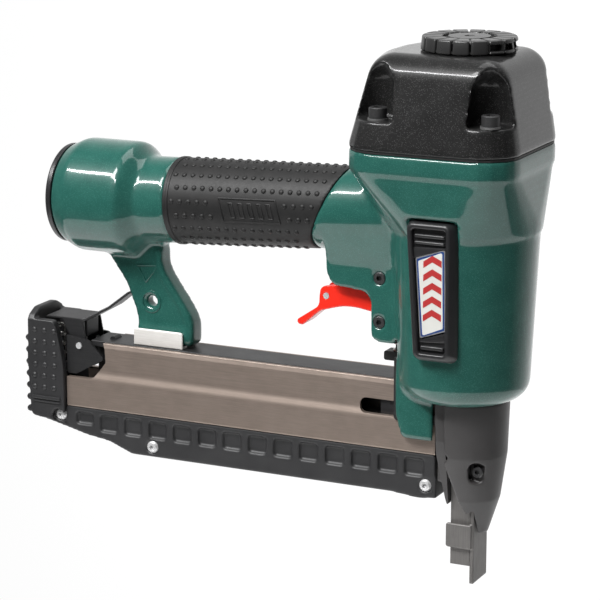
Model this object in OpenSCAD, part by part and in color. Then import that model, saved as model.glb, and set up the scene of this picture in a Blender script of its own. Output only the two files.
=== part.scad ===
// Pneumatic nail gun, in millimetres.
// The origin is the point on the drive axis where the nail leaves the contact foot.
// +Z runs up the drive axis, +X points forwards, away from the handle.

/* [Housing] */
// Height of the joint between the casting and its cap
seam_z = 211; // [208:1:216]
// Radius of the cylinder housing below its shoulder
housing_r = 34.8; // [33:0.2:38]
// Length of the cap's base along the tool
cap_l = 83; // [80:1:94]
// Width of the cap's base across the tool
cap_w = 80; // [78:1:90]
// How far the cap's base reaches behind the drive axis
cap_rear = 49; // [48:1:54]
// Height of the cap above the joint
cap_h = 43.5; // [38:0.5:50]
// Diameter of the exhaust deflector
deflector_d = 45; // [36:1:50]
// Half of the trigger column's thickness
column_half = 12.5; // [11.5:0.5:15]

/* [Drive] */
// Piston diameter
piston_d = 36; // [32:1:38]
// Piston stroke
stroke = 97; // [90:1:100]
// Wall of the cylinder sleeve
sleeve_wall = 2.2; // [1.6:0.2:3]
// Width of the driver blade
blade_w = 6.4; // [5:0.2:7]
// Thickness of the driver blade
blade_t = 1.3; // [1:0.1:1.6]
// Height of the rubber bumper
bumper_h = 14; // [10:1:16]

/* [Handle] */
// Height of the handle bulb's axis
bulb_z = 170.5; // [168:0.5:174]
// Radius of the handle bulb
bulb_r = 28.3; // [26:0.1:32]
// Distance from the drive axis to the rear face of the bulb
handle_reach = 211; // [206:1:224]
// Radius of the grip at its rear end
grip_rear_r = 21.2; // [20:0.1:23]
// Radius of the grip at its front end
grip_front_r = 20; // [19:0.1:22]
// Thickness of the rubber grip
grip_t = 2.4; // [1.8:0.2:3]
// Wall radius of the air inlet thread
inlet_r = 5.9; // [5:0.1:6.6]

/* [Magazine] */
// Level of the top of the magazine
rail_z = 97.5; // [96:0.5:99]
// Width of the lower half of the magazine
magazine_w = 25; // [24:0.5:26]
// Level of the underside of the bronze extrusion
extrusion_low_z = 62.5; // [60:0.5:65]
// Level of the underside of the plastic base
base_low_z = 41.5; // [40:0.5:46]
// Distance from the drive axis to the rear end of the extrusion
magazine_reach = 210.8; // [208:0.2:218]

/* [Trigger and contact foot] */
// Width of the trigger
trigger_w = 12; // [10:0.5:13]
// Travel of the contact foot
foot_travel = 8; // [6:0.5:8]
// Width of the contact foot's front plate
foot_w = 18; // [16:0.5:19]
// Screw radius of the two column screws
column_screw_r = 2; // [1.8:0.1:2.4]

/* [Hidden] */

$fn = 64;
eps = 0.01;        // overlap that joins two solids of one piece
slip = 0.05;       // radial clearance of a running fit
gap = 0.3;         // clearance between pieces that move past each other

// Shell and seat sizes of the casting
gasket_t = 1;
body_top = seam_z - gasket_t;
flange_h = 9;
flange_r = 18;
shoulder_z = seam_z - 39;
lower_r = housing_r - 4;
foot_round = 10;
housing_low_z = rail_z - 7;
floor_z = rail_z + 2;
sleeve_in_r = piston_d / 2;
sleeve_out_r = sleeve_in_r + sleeve_wall;
chamber_r = lower_r - 5;

// Drive train heights
piston_h = 9;
// The stack of sleeve, piston and bumper hangs from the seam
sleeve_high_z = seam_z + 14.1;
piston_low_z = sleeve_high_z - piston_h - 0.6;
sleeve_low_z = piston_low_z - stroke - bumper_h;
head_valve_z = sleeve_high_z + 0.2;
head_valve_h = 9;
cap_top_z = seam_z + cap_h;
blade_rest_z = 1 + stroke;
blade_root_r = 4.2;

// Cap bolts: how far each row stands in from the cap's edge
cap_front = cap_l - cap_rear;
bolt_front_x = cap_front - 11;
bolt_rear_x = -cap_rear + 17;
bolt_y = cap_w / 2 - 9;
bolt_r = 2.5;
bolt_head_r = 4.25;
bolt_head_h = 5;
washer_t = 1;
ledge_z = seam_z + 13.5;
niche_r = 11.2;
niche_top_r = 8.4;
niche_h = 27;
cap_wall = 4;

// Handle line
neck_x = -handle_reach + 45;
neck_r = grip_rear_r - 0.4;
grip_rear_x = neck_x + 16;
grip_front_x = -59;
handle_tilt = 2.6;
handle_start_z = bulb_z + 0.4;
air_r = 15;
bulb_bore_r = 14.5;
bulb_room_r = 22.5;
bulb_lip = 13;
bulb_bore_l = 38;
end_cap_r = 24.5;
end_cap_t = 3;
end_cap_plug = 9;
end_screw_ring = 19.5;
end_screw_r = 1.5;

// Trigger column
pivot_x = -39;
pivot_z = 145.6;
guide_screw_z = 124.3;
column_low_z = 114.5;
yoke_low_z = 104;
yoke_high_z = 108.5;
slot_half = trigger_w / 2 + 0.4;
valve_x = -56;
valve_guide_r = sleeve_out_r + 3.4;
valve_r = 6.4;
valve_low_z = 150;
valve_high_z = 166;
trip_x = -69.4;
trip_z = 132.8;
link_x = -33;
link_r = 2.2;
spring_seat_z = 127;

// Nose
cover_back_x = -2.9;
strip_rear_x = -8.7;
nose_half = magazine_w / 2 + 3.5;
cover_wall = 1.9;
guide_half = 8;
guide_low_z = 8.5;
guide_rear_x = -2.6;
guide_split_x = 0.8;
guide_front_x = 7.2;
foot_back_x = guide_front_x + 0.35;
foot_t = 2;
foot_front_x = foot_back_x + foot_t;
ring_low_z = 17.5;
ring_high_z = 29.3;
arm_in = magazine_w / 2 + 0.4;
arm_t = 1.1;
arm_out = arm_in + arm_t;
arm_low_z = 78;
arm_high_z = 83;
passage_half = arm_out + gap;
nose_screw_x = 12.4;
nose_screw_r = 1.6;
boss_back_x = 8;
boss_y = 10;
screw_seat_y = 11.4;
nose_screw_z = 57.4;
well_up = 1.6;        // how far a screw's well runs above and below it
well_down = 2;

// Magazine sections
upper_half = magazine_w / 2 - 1.7;
channel_half = magazine_w / 2 - 3.1;
rail_head_half = channel_half - 0.4;
rail_head_t = 3;
rail_web_half = 2.3;
rail_rear_x = -198;
rail_front_x = -3.2;
front_x = -9.4;
cutback_x = -190;
cutback_z = 78;
base_half = magazine_w / 2 - 0.4;
pocket_pitch = 13.9;
pocket_w = 10;
pocket_count = 14;
cover_half = magazine_w / 2 + 2.5;
cover_front_x = -magazine_reach - 0.5;
cover_rear_x = cover_front_x - 21;
cover_top_z = 111.6;
cover_side_z = 106.6;
latch_x = -204;
latch_z = 94.4;
latch_pin_r = 1.2;
lever_top_z = 106.6;
shoe_t = 1.4;
leg_half = 4.5;
hanging_hole_z = 119.7;

casting_green = [0.14, 0.34, 0.29];
coat_black = [0.13, 0.13, 0.13];
plastic_black = [0.17, 0.17, 0.17];
steel = [0.62, 0.62, 0.62];
dark_steel = [0.33, 0.33, 0.34];
bronze = [0.42, 0.37, 0.33];
trigger_red = [0.88, 0.16, 0.11];

// ---- outlines ----

function to_unit(v) = v / norm(v);

// Points of one rounded corner b between its neighbours a and c
function corner(a, b, c, r, n = 5) =
    r <= 0 ? [b] :
    let (u = to_unit(a - b), v = to_unit(c - b), half = acos(u * v) / 2,
        start = b + u * r / tan(half), end = b + v * r / tan(half),
        centre = b + to_unit(u + v) * r / sin(half))
    [for (i = [0 : n]) centre + r * to_unit((start - centre) * (1 - i / n) + (end - centre) * i / n)];

// Closed outline from [x, y, corner radius] points
function outline(p) = let (n = len(p))
    [for (i = [0 : n - 1])
        each corner([p[(i + n - 1) % n].x, p[(i + n - 1) % n].y], [p[i].x, p[i].y],
            [p[(i + 1) % n].x, p[(i + 1) % n].y], p[i][2])];

// Side view outline in X and Z, from y0 to y1
module side_plate(points, y0, y1)
    translate([0, y1, 0]) rotate([90, 0, 0]) linear_extrude(y1 - y0) polygon(outline(points));

// Section outline in Y and Z, from x0 to x1
module section_bar(points, x0, x1)
    translate([x0, 0, 0]) rotate([90, 0, 90]) linear_extrude(x1 - x0) polygon(outline(points));

// Plan rectangle with rounded corners
module rounded_slab(x0, x1, y0, y1, r, z0, z1)
    translate([0, 0, z0]) linear_extrude(z1 - z0)
        polygon(outline([[x0, y0, r], [x1, y0, r], [x1, y1, r], [x0, y1, r]]));

module block(x0, x1, y0, y1, z0, z1) translate([x0, y0, z0]) cube([x1 - x0, y1 - y0, z1 - z0]);
module along_x(r, x0, x1, y = 0, z = 0) translate([x0, y, z]) rotate([0, 90, 0]) cylinder(r = r, h = x1 - x0);
module along_y(r, y0, y1, x, z) translate([x, y1, z]) rotate([90, 0, 0]) cylinder(r = r, h = y1 - y0);
module along_z(r, z0, z1, x = 0, y = 0) translate([x, y, z0]) cylinder(r = r, h = z1 - z0);
module both_sides() { children(); mirror([0, 1, 0]) children(); }

module ring_z(r_in, r_out, z0, z1, x = 0, y = 0)
    translate([x, y, z0]) rotate_extrude() translate([r_in, 0]) square([r_out - r_in, z1 - z0]);

module o_ring(r, wire, z) translate([0, 0, z]) rotate_extrude() translate([r, 0]) circle(r = wire, $fn = 24);

// Tapering niche with a domed top, standing on the bolt ledge
module bolt_niche(wall = 0) translate([0, 0, ledge_z]) rotate_extrude()
    polygon(outline([[0, -wall, 0], [niche_r + wall, -wall, 0], [niche_top_r + wall, niche_h - 8, 6],
        [2, niche_h + wall, 3], [0, niche_h + wall, 0]]));

module at_cap_bolts()
    for (x = [bolt_rear_x, bolt_front_x], y = [-bolt_y, bolt_y]) translate([x, y, 0]) children();

// Socket head screw standing on its head's underside at z = 0, shank downwards
module socket_screw(r, head_r, head_h, length, socket_r, socket_depth)
    difference() {
        union() {
            translate([0, 0, -length]) cylinder(r = r, h = length + eps);
            rotate_extrude() polygon([[0, 0], [head_r, 0], [head_r, head_h - 0.4],
                [head_r - 0.4, head_h], [0, head_h]]);
        }
        translate([0, 0, head_h - socket_depth]) cylinder(r = socket_r, h = socket_depth + 1, $fn = 6);
    }

// Coil spring as stacked rings joined by one thin spine, along +Z
module coil_rings(r, wire, length, turns) {
    pitch = (length - 2 * wire) / (turns - 1);
    for (i = [0 : turns - 1]) o_ring(r, wire, wire + i * pitch);
    translate([r, 0, wire]) cylinder(r = wire * 0.7, h = length - 2 * wire, $fn = 16);
}

// ---- casting ----

// Handle axis frame: x runs forwards from the neck along the tilted handle
module on_handle() translate([neck_x, 0, handle_start_z]) rotate([0, -handle_tilt, 0]) children();

handle_l = -neck_x - 20;
grip_slope = (grip_front_r - grip_rear_r) / (grip_front_x - grip_rear_x);
function grip_r(s) = grip_rear_r + grip_slope * (s + neck_x - grip_rear_x);

module handle_cone(s0, s1, inset = 0)
    on_handle() translate([s0, 0, 0]) rotate([0, 90, 0])
        cylinder(r1 = grip_r(s0) - inset, r2 = grip_r(s1) - inset, h = s1 - s0);

// Everything in front of the slanted front end of the grip
module ahead_of_grip(shift = 0)
    side_plate([[grip_front_x + 9 + shift, 215, 0], [0, 215, 0], [0, 130, 0],
        [grip_front_x - 14 + shift, 130, 0], [grip_front_x - 14 + shift, 163, 20]], -40, 40);

module housing_solid() {
    rounded_slab(-cap_rear, cap_front, -cap_w / 2, cap_w / 2, flange_r, body_top - flange_h, body_top);
    hull() {
        rounded_slab(-cap_rear + 1, cap_front - 1, -cap_w / 2 + 1, cap_w / 2 - 1, flange_r - 1,
            body_top - flange_h - 1.5, body_top - flange_h + 1);
        along_z(housing_r + 0.8, shoulder_z, shoulder_z + 6);
    }
    rotate_extrude($fn = 96)
        polygon(outline([[0, housing_low_z, 0], [lower_r, housing_low_z, foot_round],
            [housing_r, shoulder_z + 2, 0], [0, shoulder_z + 2, 0]]));
}

module bulb_solid() {
    rear = -handle_reach;
    translate([rear, 0, bulb_z]) rotate([0, 90, 0]) rotate_extrude($fn = 96)
        polygon(outline([[0, 0, 0], [end_cap_r, 0, 0], [bulb_r, 8.5, 5],
            [bulb_r, 37.5, 5], [neck_r, 45.5, 3], [neck_r, 52, 0], [0, 52, 0]]));
}

// The leg stands on the rail and leans to meet the neck, wherever that is
function leg_shift(z) = (neck_x + 166) * (z - rail_z - shoe_t) / (150 - rail_z - shoe_t);
module leaning_plate(points, y0, y1)
    side_plate([for (p = points) [p.x + leg_shift(p.y), p.y, p[2]]], y0, y1);

module leg_solid() {
    low = rail_z + shoe_t + 0.1;
    leaning_plate([[-193, 150, 0], [-191, 143, 6], [-180.2, 128, 30], [-174.4, 113, 20], [-173.4, low, 2],
        [-142.5, low, 2], [-142, 112, 14], [-150.5, 124.5, 10], [-160.5, 139, 16], [-159, 152, 0]],
        -leg_half, leg_half);
    side_plate([[-174, low, 2], [-174, low + 7.5, 3], [-143, low + 7.5, 3], [-143, low, 2]], -6, 6);
}

module column_solid() {
    side_plate([[-67, 166, 0], [-67, 147, 2], [-64.5, 141.5, 3], [-61, 139.5, 2], [-47, 138.8, 4],
        [-43.6, 135, 3], [-43.4, column_low_z, 5], [-24, column_low_z, 0], [-24, 166, 0]],
        -column_half, column_half);
    intersection() {
        ahead_of_grip();
        hull() {
            handle_cone(-neck_x - 66, -neck_x - 30, 0.3);
            block(-66, -26, -column_half, column_half, 150, 162);
        }
    }
}

module skirt_solid()
    side_plate([[-26, 128, 0], [-29.2, 100, 25], [-28.8, 82, 25], [-25.4, 70, 4], [front_x, 70, 1],
        [front_x, 128, 0]], -nose_half - 0.8, nose_half + 0.8);

module body_casting() color(casting_green) difference() {
    union() {
        housing_solid();
        bulb_solid();
        handle_cone(0, handle_l - 22, grip_t + 0.1);
        handle_cone(-2, grip_rear_x - neck_x, 0);
        intersection() { handle_cone(grip_front_x - 20 - neck_x, handle_l, 0); ahead_of_grip(); }
        leg_solid();
        column_solid();
        skirt_solid();
    }
    // Chamber, floor and handle air space
    along_z(chamber_r, sleeve_low_z, body_top + 1);
    along_z(blade_root_r + 1.3, floor_z - 1, sleeve_low_z + 1);
    on_handle() along_x(air_r, -12, handle_l);
    along_x(bulb_bore_r, -handle_reach - 1, -handle_reach + bulb_lip + 1, 0, bulb_z);
    along_x(bulb_room_r, -handle_reach + bulb_lip, -handle_reach + bulb_bore_l, 0, bulb_z);
    at_end_screws() translate([0, 0, -bulb_lip]) cylinder(r = end_screw_r, h = bulb_lip + 1);
    // Cap screw threads
    at_cap_bolts() along_z(bolt_r, body_top - 18, body_top + 1);
    // Trigger slot, valve seat and stem room
    block(-75, pivot_x + 6.5, -slot_half, slot_half, 120, valve_low_z - 1.5);
    block(pivot_x - 9, pivot_x + 6.5, -slot_half, slot_half, 140, pivot_z + 5.6);
    along_z(valve_r, valve_low_z - 3, handle_start_z, valve_x);
    // Column screws and the linkage's rod and spring
    for (z = [pivot_z, guide_screw_z]) {
        along_y(column_screw_r, -40, 40, pivot_x, z);
        along_y(column_screw_r + 1.3, -40, -column_half + 2.4, pivot_x, z);
    }
    along_z(link_r + 0.25, column_low_z - 1, valve_low_z - 2, link_x);
    along_z(3.6, yoke_low_z - 1, spring_seat_z, link_x);
    // Room for the magazine, the nose and the linkage's arms
    block(-34, front_x + eps, -passage_half, passage_half, 60, floor_z);
    block(front_x - 1, foot_front_x + 0.6, -passage_half, passage_half, 60, floor_z);
    both_sides() block(-30.6, -23.4, arm_in - gap, passage_half, 70, yoke_high_z + foot_travel + gap);
    block(-30.6, -27.2, -passage_half, passage_half, floor_z - 1, yoke_high_z + foot_travel + gap);
    block(-50, -27.2, -3.8, 3.8, yoke_low_z - 1, yoke_high_z + foot_travel + gap);
    // Hanging hole through the leg
    along_y(3, -10, 10, -166 + leg_shift(hanging_hole_z), hanging_hole_z);
    // Flats for the badge
    block(-16, 9.6, -50, badge_y, 114, 181);
}

// ---- cap and exhaust ----

// Centres of the spheres under the cap's top; the rear edge is bowed
function cap_corners(inset) = [for (side = [-1, 1])
    each [[-cap_rear + 21 + inset, side * (cap_w / 2 - 20 - inset)], [cap_front - 17.5 - inset, side * (cap_w / 2 - 18 - inset)],
        [-cap_rear + 17.5 + inset, side * 7]]];

module cap_outer() hull() {
    rounded_slab(-cap_rear, cap_front, -cap_w / 2, cap_w / 2, flange_r, seam_z, seam_z + 2);
    for (p = cap_corners(0)) translate([p.x, p.y, cap_top_z - 13]) sphere(r = 13, $fn = 32);
}

module cap_hollow() hull() {
    rounded_slab(-cap_rear + cap_wall, cap_front - cap_wall, -cap_w / 2 + cap_wall, cap_w / 2 - cap_wall,
        flange_r - cap_wall, seam_z - 1, seam_z + 4);
    for (p = cap_corners(1)) translate([p.x, p.y, cap_top_z - 14]) sphere(r = 10, $fn = 24);
}

module cylinder_cap() color(coat_black) difference() {
    union() {
        difference() {
            cap_outer();
            cap_hollow();
        }
        intersection() {
            cap_outer();
            union() {
                at_cap_bolts() bolt_niche(2.4);
                at_cap_bolts() along_z(niche_r + 2.4, seam_z, ledge_z);
                ring_z(valve_guide_r, valve_guide_r + 3, seam_z + 6, cap_top_z - 3);
                along_z(8, cap_top_z - 9, cap_top_z);
            }
        }
    }
    at_cap_bolts() along_z(bolt_r + 0.2, seam_z - 1, cap_top_z);
    at_cap_bolts() bolt_niche();
    along_z(sleeve_out_r + 1.6 + slip, seam_z - 1, seam_z + 1);
    along_z(valve_guide_r, seam_z + 5, cap_top_z - 6);
    along_z(2.5, cap_top_z - 12, cap_top_z + 1);
    for (a = [30 : 60 : 330]) rotate(a) along_z(2.6, cap_top_z - 12, cap_top_z + 1, 10.6);
}

module cap_gasket() color([0.2, 0.2, 0.2]) difference() {
    rounded_slab(-cap_rear + 0.6, cap_front - 0.6, -cap_w / 2 + 0.6, cap_w / 2 - 0.6, flange_r - 0.6,
        body_top, seam_z);
    along_z(chamber_r, body_top - 1, seam_z + 1);
    at_cap_bolts() along_z(bolt_r + 0.2, body_top - 1, seam_z + 1);
}

module cap_washers() color(dark_steel) at_cap_bolts() ring_z(bolt_r + 0.1, bolt_head_r + 0.5, ledge_z, ledge_z + washer_t);

module cap_screws() color(coat_black) at_cap_bolts()
    translate([0, 0, ledge_z + washer_t])
        socket_screw(bolt_r, bolt_head_r, bolt_head_h, ledge_z + washer_t - body_top + 14, 2.3, 3);

deflector_r = deflector_d / 2;
deflector_h = 6.6;
deflector_low = cap_top_z + 0.3;
window_count = 16;
module exhaust_deflector() color(plastic_black) difference() {
    translate([0, 0, deflector_low]) rotate_extrude($fn = 96)
        polygon(outline([[3.2, 0, 0], [deflector_r, 0, 0.6], [deflector_r - 0.6, 3, 1], [deflector_r - 2, deflector_h, 1.4],
            [3.2, deflector_h, 0]]));
    translate([0, 0, deflector_low - 1]) ring_z(8, deflector_r - 3.2, 0, deflector_h - 1.4);
    along_z(10.2, deflector_low + deflector_h - 1.6, deflector_low + deflector_h + 1);
    // Castellated rim, open as exhaust windows on one side
    for (i = [0 : window_count - 1]) rotate(i * 360 / window_count)
        translate([deflector_r + 0.5, 0, deflector_low + 1.4]) rotate([0, -14, 0])
            block(-1.2, 3, -0.6, 0.6, 0, 8);
    for (i = [-2 : 2]) rotate((i + 0.5) * 360 / window_count)
        block(deflector_r - 8, deflector_r + 2, -2.4, 2.4, deflector_low + 1.4, deflector_low + 4.9);
}

module deflector_screw() color(steel) difference() {
    union() {
        along_z(2.5, cap_top_z - 9, cap_top_z + 3);
        along_z(3.1, cap_top_z, deflector_low + deflector_h - 1.3);
        along_z(9.8, deflector_low + deflector_h - 1.4, deflector_low + deflector_h - 0.2);
    }
    translate([0, 0, deflector_low + deflector_h - 1]) cylinder(r = 2.6, h = 2, $fn = 6);
}

// ---- cylinder, piston and head valve ----

module cylinder_sleeve() color(steel) {
    ring_z(sleeve_in_r, sleeve_out_r, sleeve_low_z, sleeve_high_z);
    ring_z(sleeve_out_r - eps, chamber_r - slip, body_top - 7, body_top - 1);
}

module sleeve_seals() color([0.1, 0.1, 0.1]) {
    ring_z(sleeve_out_r, sleeve_out_r + 1.6, sleeve_low_z + 4, sleeve_low_z + 6.4);
    ring_z(sleeve_out_r, sleeve_out_r + 1.6, body_top - 0.8, body_top + 1.4);
}

module bumper() color([0.25, 0.2, 0.16])
    translate([0, 0, sleeve_low_z]) rotate_extrude()
        polygon(outline([[blade_root_r + 1.4, 0, 0], [sleeve_in_r - 0.3, 0, 0], [sleeve_in_r - 0.3, 8, 1],
            [sleeve_in_r - 4, bumper_h, 1.5], [blade_root_r + 1.4, bumper_h, 1]]));

module piston() color(steel) difference() {
    translate([0, 0, piston_low_z]) rotate_extrude()
        polygon(outline([[0, 0, 0], [sleeve_in_r - 2, 0, 0], [sleeve_in_r - slip, 2, 0],
            [sleeve_in_r - slip, piston_h, 0.6], [0, piston_h, 0]]));
    ring_z(sleeve_in_r - 2.2, sleeve_in_r + 1, piston_low_z + 3.4, piston_low_z + 6.2);
    block(-blade_t / 2 - 0.05, blade_t / 2 + 0.05, -blade_w / 2 - 0.05, blade_w / 2 + 0.05,
        piston_low_z - 1, piston_low_z + 5);
}

module piston_ring() color([0.1, 0.1, 0.1])
    ring_z(sleeve_in_r - 2.2, sleeve_in_r - 0.02, piston_low_z + 3.4, piston_low_z + 6.2);

module driver_blade() color(steel)
    block(-blade_t / 2, blade_t / 2, -blade_w / 2, blade_w / 2, blade_rest_z, piston_low_z + 5);

module head_valve() color(plastic_black) difference() {
    translate([0, 0, head_valve_z]) rotate_extrude()
        polygon(outline([[5, 0, 0], [valve_guide_r - slip, 0, 0], [valve_guide_r - slip, head_valve_h, 0.5],
            [5, head_valve_h, 0]]));
    ring_z(8, 15, head_valve_z + 3, head_valve_z + head_valve_h + 1);
    ring_z(valve_guide_r - 1.8, valve_guide_r + 1, head_valve_z + 3.2, head_valve_z + 5.6);
}

module head_valve_ring() color([0.1, 0.1, 0.1])
    ring_z(valve_guide_r - 1.8, valve_guide_r - 0.02, head_valve_z + 3.2, head_valve_z + 5.6);

module head_valve_spring() color(steel)
    translate([0, 0, head_valve_z + 3]) coil_rings(11.5, 0.9, cap_top_z - 6 - head_valve_z - 3, 4);

// ---- badge, grip and handle end ----

badge_y = -housing_r + 2.4;
badge_proud = 4.6;
module badge_frame() color(plastic_black) difference() {
    side_plate([[-15, 179.5, 3], [7, 179.5, 3], [7, 116, 3], [-11, 116, 3]], badge_y - badge_proud, badge_y);
    side_plate([[-12.8, 177.3, 1.5], [4.8, 177.3, 1.5], [4.8, 118.2, 1.5], [-9.2, 118.2, 1.5]],
        badge_y - badge_proud - 1, badge_y - badge_proud + 1.6);
}

// Steps of the badge's floor and its sloped sticker
module badge_plate() color([0.9, 0.9, 0.88]) {
    floor_y = badge_y - badge_proud + 1.6;
    side_plate([[-10.4, 163, 0.6], [3.8, 167.4, 0.6], [4.2, 129.4, 0.6], [-8.4, 125, 0.6]], floor_y - 1, floor_y);
}

module grip_sleeve() color(plastic_black) difference() {
    handle_cone(grip_rear_x - neck_x + 0.1, handle_l - 22, 0);
    handle_cone(0, handle_l, grip_t);
    ahead_of_grip(-0.1);
}

module at_end_screws()
    for (i = [0 : 3]) translate([-handle_reach, 0, bulb_z]) rotate([45 + i * 90, 0, 0])
        translate([0, 0, end_screw_ring]) rotate([0, -90, 0]) children();

module handle_end_cap() color(plastic_black) difference() {
    union() {
        translate([-handle_reach - end_cap_t, 0, bulb_z]) rotate([0, 90, 0]) rotate_extrude($fn = 96)
            polygon(outline([[0, 0, 0], [end_cap_r + 0.2, 0, 1.2], [end_cap_r + 0.2, end_cap_t, 0.5], [0, end_cap_t, 0]]));
        along_x(bulb_bore_r - slip, -handle_reach - eps, -handle_reach + end_cap_plug, 0, bulb_z);
    }
    along_x(9, -handle_reach - 20, -handle_reach + 20, 0, bulb_z);
    at_end_screws() translate([0, 0, -bulb_lip]) cylinder(r = end_screw_r + 0.2, h = 30);
    at_end_screws() translate([0, 0, end_cap_t - 2.4]) cylinder(r = 3, h = 5);
    translate([-handle_reach + 4, 0, bulb_z]) rotate([0, 90, 0]) ring_z(bulb_bore_r - 2, bulb_bore_r + 1, 0, 2.8);
}

module end_cap_seal() color([0.1, 0.1, 0.1])
    translate([-handle_reach + 4, 0, bulb_z]) rotate([0, 90, 0]) ring_z(bulb_bore_r - 2, bulb_bore_r - 0.02, 0, 2.8);

module end_cap_screws() color(steel)
    at_end_screws() translate([0, 0, end_cap_t - 2.4]) socket_screw(end_screw_r, 2.75, 2.2, 8, 1.2, 1.4);

inlet_l = 14;
module inlet_bushing() color([0.72, 0.6, 0.32]) difference() {
    union() {
        along_x(9 - 0.02, -handle_reach - end_cap_t, -handle_reach + inlet_l - end_cap_t, 0, bulb_z);
        translate([-handle_reach - end_cap_t - 1.6, 0, bulb_z]) rotate([0, 90, 0]) cylinder(r = 10.4, h = 1.6, $fn = 6);
    }
    along_x(inlet_r, -handle_reach - 40, -handle_reach + 40, 0, bulb_z);
}

// ---- trigger, valve and safety linkage ----

trigger_half = trigger_w / 2;
module trigger() color(trigger_red) difference() {
    union() {
        difference() {
            side_plate([[-84.6, 117.6, 1.3], [-82, 117, 1.3], [-72.5, 125.2, 8], [-58, 129.4, 30], [-42, 126.8, 3],
                [-41, 136, 3], [-34.8, 140, 4], [-34.2, 149, 4], [-43, 149.6, 4], [-45.5, 138.2, 4],
                [-62.5, 139, 6], [-72.6, 137.2, 3.5], [-73.4, 127.4, 4], [-84.9, 119.7, 1.3]],
                -trigger_half, trigger_half);
            side_plate([[-74.5, 130.5, 1], [-28, 130.5, 1], [-28, 160, 0], [-74.5, 160, 0]],
                -trigger_half + 2.4, trigger_half - 2.4);
        }
        // Stiffening crown that the valve stem rests on, split for the trip lever
        both_sides() block(valve_x - 2, valve_x + 2, 2.2, trigger_half - 2, 130, 138);
    }
    along_y(column_screw_r + slip, -20, 20, pivot_x, pivot_z);
    along_y(1.5, -20, 20, trip_x, trip_z);
}

module along_column_bolt(z) translate([pivot_x, -column_half + 2.4, z]) rotate([90, 0, 0])
    socket_screw(column_screw_r, column_screw_r + 1, 2.2, 2 * column_half - 2.6, 1.45, 1.4);

module trigger_pivot_screw() color(coat_black) along_column_bolt(pivot_z);
module column_screw() color(coat_black) along_column_bolt(guide_screw_z);

module trip_lever() color(steel) difference() {
    side_plate([[trip_x - 2.4, trip_z - 1.9, 1.5], [link_x + 1.5, trip_z - 0.2, 1], [link_x + 1.5, trip_z + 2, 1],
        [trip_x - 2.4, trip_z + 2.4, 1.5]], -1.7, 1.7);
    along_y(1.5 + slip, -20, 20, trip_x, trip_z);
}

module trip_pin() color(steel) along_y(1.5, -trigger_half, trigger_half, trip_x, trip_z);

stem_r = 1.6;
stem_low_z = trip_z + 6.4;
module valve_body() color([0.72, 0.6, 0.32]) difference() {
    along_z(valve_r - 0.02, valve_low_z - 1.5, valve_high_z, valve_x);
    along_z(stem_r + slip, valve_low_z - 3, valve_high_z + 1, valve_x);
    along_z(3.6, valve_low_z + 6, valve_high_z - 1, valve_x);
    translate([valve_x, 0, 0]) ring_z(valve_r - 1.2, valve_r + 1, valve_low_z + 2, valve_low_z + 4);
}

module valve_seals() color([0.1, 0.1, 0.1])
    translate([valve_x, 0, 0]) ring_z(valve_r - 1.2, valve_r - 0.02, valve_low_z + 2, valve_low_z + 4);

module valve_stem() color(steel) {
    along_z(stem_r, stem_low_z, valve_low_z + 12, valve_x);
    along_z(3.3, valve_low_z + 6.4, valve_low_z + 8.4, valve_x);
}

module valve_spring() color(steel)
    translate([valve_x, 0, valve_low_z + 8.5]) coil_rings(2.6, 0.35, valve_high_z - valve_low_z - 9.6, 5);

module safety_linkage() color(coat_black) {
    along_z(link_r, yoke_low_z + 1, 131, link_x);
    side_plate([[-40, yoke_low_z, 1], [-27.5, yoke_low_z, 0], [-27.5, yoke_high_z, 0], [-40, yoke_high_z, 1]], -3.5, 3.5);
    block(-30.2, -27.5, -arm_out, arm_out, yoke_low_z, yoke_high_z);
    both_sides() side_plate([[-30.2, arm_low_z, 2], [foot_back_x, arm_low_z, 0], [foot_back_x, arm_high_z, 0],
        [-24.4, arm_high_z, 2], [-24.4, yoke_high_z, 0], [-30.2, yoke_high_z, 0]], arm_in, arm_out);
}

module safety_spring() color(steel)
    translate([link_x, 0, yoke_high_z + 0.05]) coil_rings(3, 0.45, spring_seat_z - yoke_high_z - 0.1, 6);

module contact_foot() color(dark_steel) {
    // Front plate with its cross head
    block(foot_back_x, foot_front_x, -foot_w / 2, foot_w / 2, 0, arm_high_z);
    block(foot_back_x, foot_front_x, -arm_out, arm_out, arm_low_z, arm_high_z);
    // Wings that wrap round the guides
    difference() {
        side_plate([[-4.3, ring_low_z, 1], [foot_back_x + 1, ring_low_z, 0], [foot_back_x + 1, ring_high_z, 0],
            [-4.3, ring_high_z, 1]], -guide_half - 2.2, guide_half + 2.2);
        block(-8, foot_back_x, -guide_half - gap, guide_half + gap, 0, 40);
    }
}

// ---- nose ----

module nose_round(inset) hull() {
    along_z(19.6 - inset, housing_low_z - 0.4, housing_low_z + 0.3, 2.6);
    along_z(18.6 - inset, 64, 65, 2.8);
    along_z(14.6 - inset, 42, 43, 3.8);
    along_z(5.4 - inset * 0.6, 24.5, 25.5, 7.6);
}

// Upright oval round a nose screw
module nose_well(r, y0, y1) {
    for (z = [nose_screw_z - well_down, nose_screw_z + well_up]) along_y(r, y0, y1, nose_screw_x, z);
    block(nose_screw_x - r, nose_screw_x + r, y0, y1, nose_screw_z - well_down, nose_screw_z + well_up);
}

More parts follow.
